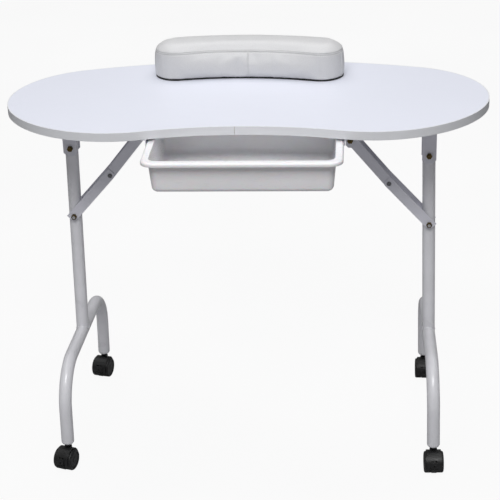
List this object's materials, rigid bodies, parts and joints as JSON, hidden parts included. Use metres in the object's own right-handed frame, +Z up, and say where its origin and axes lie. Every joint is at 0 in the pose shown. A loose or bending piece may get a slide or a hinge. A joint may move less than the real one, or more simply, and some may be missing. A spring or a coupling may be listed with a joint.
{
  "type": "manicure table",
  "caption": "Folding manicure table: kidney-shaped white top, two T-shaped tube legs with jointed braces, swivel casters with brakes, hanging drawer and padded wrist rest.",
  "frame": {"origin": "on the floor, below the middle of the tabletop", "axes": "+X along the table's length, -Y towards the notched front edge and the drawer, +Z up"},
  "size_m": [0.92, 0.5262, 0.78],
  "materials": {
    "white_laminate": "satin",
    "fibreboard": "raw",
    "backing_paper": "matt",
    "white_edge_band": "satin",
    "grey_white_paint": "powder coat",
    "white_paint": "powder coat",
    "zinc_yellow": "yellow zinc",
    "bright_screw": "bright",
    "white_plastic": "semi-gloss",
    "white_leather": "fine grain",
    "plywood": "raw",
    "dark_rivet": "worn",
    "black_cloth": "non-woven",
    "black_plastic": "satin",
    "black_nylon": "satin",
    "black_steel": "black"
  },
  "bodies": {
    "table": {"tabletop_core": "fibreboard", "top_laminate": "white_laminate", "backing_sheet": "backing_paper", "edge_band": "white_edge_band", "underside_screws": "bright_screw", "hinge_bolts": "zinc_yellow", "hinge_nuts": "zinc_yellow", "left_leg_bracket": "grey_white_paint", "right_leg_bracket": "grey_white_paint", "left_brace_bracket": "grey_white_paint", "right_brace_bracket": "grey_white_paint", "left_drawer_runner": "grey_white_paint", "right_drawer_runner": "grey_white_paint"},
    "drawer": {"drawer_tray": "white_plastic"},
    "wrist_rest": {"cushion_pad": "white_leather", "cushion_board": "plywood", "cushion_bottom_cloth": "black_cloth"},
    "left_leg": {"left_post": "white_paint", "left_foot": "white_paint", "left_stem_sockets": "black_plastic", "left_brace_bolt": "bright_screw", "left_brace_nut": "zinc_yellow"},
    "left_upper_link": {"left_upper_brace": "grey_white_paint", "left_inner_knee_rivets": "dark_rivet"},
    "left_lower_link": {"left_lower_brace": "grey_white_paint", "left_outer_knee_rivets": "dark_rivet"},
    "right_leg": {"right_post": "white_paint", "right_foot": "white_paint", "right_stem_sockets": "black_plastic", "right_brace_bolt": "bright_screw", "right_brace_nut": "zinc_yellow"},
    "right_upper_link": {"right_upper_brace": "grey_white_paint", "right_inner_knee_rivets": "dark_rivet"},
    "right_lower_link": {"right_lower_brace": "grey_white_paint", "right_outer_knee_rivets": "dark_rivet"},
    "left_front_caster": {"left_front_caster_hood": "black_plastic", "left_front_caster_stem": "black_steel", "left_front_caster_axle": "bright_screw"},
    "left_front_wheel_a": {"left_front_wheel_a": "black_nylon"},
    "left_front_wheel_b": {"left_front_wheel_b": "black_nylon"},
    "left_front_brake": {"left_front_brake_lever": "black_plastic"},
    "left_rear_caster": {"left_rear_caster_hood": "black_plastic", "left_rear_caster_stem": "black_steel", "left_rear_caster_axle": "bright_screw"},
    "left_rear_wheel_a": {"left_rear_wheel_a": "black_nylon"},
    "left_rear_wheel_b": {"left_rear_wheel_b": "black_nylon"},
    "left_rear_brake": {"left_rear_brake_lever": "black_plastic"},
    "right_front_caster": {"right_front_caster_hood": "black_plastic", "right_front_caster_stem": "black_steel", "right_front_caster_axle": "bright_screw"},
    "right_front_wheel_a": {"right_front_wheel_a": "black_nylon"},
    "right_front_wheel_b": {"right_front_wheel_b": "black_nylon"},
    "right_front_brake": {"right_front_brake_lever": "black_plastic"},
    "right_rear_caster": {"right_rear_caster_hood": "black_plastic", "right_rear_caster_stem": "black_steel", "right_rear_caster_axle": "bright_screw"},
    "right_rear_wheel_a": {"right_rear_wheel_a": "black_nylon"},
    "right_rear_wheel_b": {"right_rear_wheel_b": "black_nylon"},
    "right_rear_brake": {"right_rear_brake_lever": "black_plastic"}
  },
  "joints": [
    {"name": "drawer_slide", "type": "slide", "parent": "table", "child": "drawer", "axis": [0, -1, 0], "range_m": [-0.105, 0.1]},
    {"name": "wrist_rest_lift", "type": "slide", "parent": "table", "child": "wrist_rest", "axis": [0, 0, 1], "range_m": [0, 0.12]},
    {"name": "left_leg_fold", "type": "hinge", "parent": "table", "child": "left_leg", "pos_m": [-0.3494, 0, 0.617], "axis": [0, -1, 0], "range_deg": [0, 91.52]},
    {"name": "left_upper_brace_turn", "type": "hinge", "parent": "table", "child": "left_upper_link", "pos_m": [-0.201, 0, 0.6505], "axis": [0, -1, 0], "range_deg": [-50.17, 0]},
    {"name": "left_lower_brace_turn", "type": "hinge", "parent": "left_leg", "child": "left_lower_link", "pos_m": [-0.35323, 0, 0.47305], "axis": [0, -1, 0], "range_deg": [0, 24.93]},
    {"name": "right_leg_fold", "type": "hinge", "parent": "table", "child": "right_leg", "pos_m": [0.3494, 0, 0.598], "axis": [0, 1, 0], "range_deg": [0, 89.02]},
    {"name": "right_upper_brace_turn", "type": "hinge", "parent": "table", "child": "right_upper_link", "pos_m": [0.197, 0, 0.6315], "axis": [0, 1, 0], "range_deg": [-53.27, 0]},
    {"name": "right_lower_brace_turn", "type": "hinge", "parent": "right_leg", "child": "right_lower_link", "pos_m": [0.35196, 0, 0.45402], "axis": [0, 1, 0], "range_deg": [0, 21.66]},
    {"name": "left_front_swivel", "type": "hinge", "parent": "left_leg", "child": "left_front_caster", "pos_m": [-0.37109, -0.18988, 0.053], "axis": [0, 0, 1], "continuous": true},
    {"name": "left_front_wheel_a_spin", "type": "hinge", "parent": "left_front_caster", "child": "left_front_wheel_a", "pos_m": [-0.3747, -0.20133, 0.0215], "axis": [0.9537, -0.3007, 0], "continuous": true},
    {"name": "left_front_wheel_b_spin", "type": "hinge", "parent": "left_front_caster", "child": "left_front_wheel_b", "pos_m": [-0.3747, -0.20133, 0.0215], "axis": [0.9537, -0.3007, 0], "continuous": true},
    {"name": "left_front_brake_press", "type": "hinge", "parent": "left_front_caster", "child": "left_front_brake", "pos_m": [-0.3747, -0.20133, 0.0215], "axis": [0.9537, -0.3007, 0], "range_deg": [0, 18]},
    {"name": "left_rear_swivel", "type": "hinge", "parent": "left_leg", "child": "left_rear_caster", "pos_m": [-0.35783, 0.18988, 0.053], "axis": [0, 0, 1], "continuous": true},
    {"name": "left_rear_wheel_a_spin", "type": "hinge", "parent": "left_rear_caster", "child": "left_rear_wheel_a", "pos_m": [-0.36053, 0.17819, 0.0215], "axis": [0.9744, -0.225, 0], "continuous": true},
    {"name": "left_rear_wheel_b_spin", "type": "hinge", "parent": "left_rear_caster", "child": "left_rear_wheel_b", "pos_m": [-0.36053, 0.17819, 0.0215], "axis": [0.9744, -0.225, 0], "continuous": true},
    {"name": "left_rear_brake_press", "type": "hinge", "parent": "left_rear_caster", "child": "left_rear_brake", "pos_m": [-0.36053, 0.17819, 0.0215], "axis": [0.9744, -0.225, 0], "range_deg": [0, 18]},
    {"name": "right_front_swivel", "type": "hinge", "parent": "right_leg", "child": "right_front_caster", "pos_m": [0.36147, -0.18999, 0.053], "axis": [0, 0, 1], "continuous": true},
    {"name": "right_front_wheel_a_spin", "type": "hinge", "parent": "right_front_caster", "child": "right_front_wheel_a", "pos_m": [0.36189, -0.20198, 0.0215], "axis": [0.9994, 0.0349, 0], "continuous": true},
    {"name": "right_front_wheel_b_spin", "type": "hinge", "parent": "right_front_caster", "child": "right_front_wheel_b", "pos_m": [0.36189, -0.20198, 0.0215], "axis": [0.9994, 0.0349, 0], "continuous": true},
    {"name": "right_front_brake_press", "type": "hinge", "parent": "right_front_caster", "child": "right_front_brake", "pos_m": [0.36189, -0.20198, 0.0215], "axis": [0.9994, 0.0349, 0], "range_deg": [0, 18]},
    {"name": "right_rear_swivel", "type": "hinge", "parent": "right_leg", "child": "right_rear_caster", "pos_m": [0.35683, 0.18999, 0.053], "axis": [0, 0, 1], "continuous": true},
    {"name": "right_rear_wheel_a_spin", "type": "hinge", "parent": "right_rear_caster", "child": "right_rear_wheel_a", "pos_m": [0.35683, 0.17799, 0.0215], "axis": [1, 0, 0], "continuous": true},
    {"name": "right_rear_wheel_b_spin", "type": "hinge", "parent": "right_rear_caster", "child": "right_rear_wheel_b", "pos_m": [0.35683, 0.17799, 0.0215], "axis": [1, 0, 0], "continuous": true},
    {"name": "right_rear_brake_press", "type": "hinge", "parent": "right_rear_caster", "child": "right_rear_brake", "pos_m": [0.35683, 0.17799, 0.0215], "axis": [1, 0, 0], "range_deg": [0, 18]}
  ],
  "couplings": [
    {"joint": "left_upper_brace_turn", "follows": "left_leg_fold", "ratio": -0.546},
    {"joint": "left_lower_brace_turn", "follows": "left_leg_fold", "ratio": 0.27025},
    {"joint": "right_upper_brace_turn", "follows": "right_leg_fold", "ratio": -0.5962},
    {"joint": "right_lower_brace_turn", "follows": "right_leg_fold", "ratio": 0.24102}
  ]
}
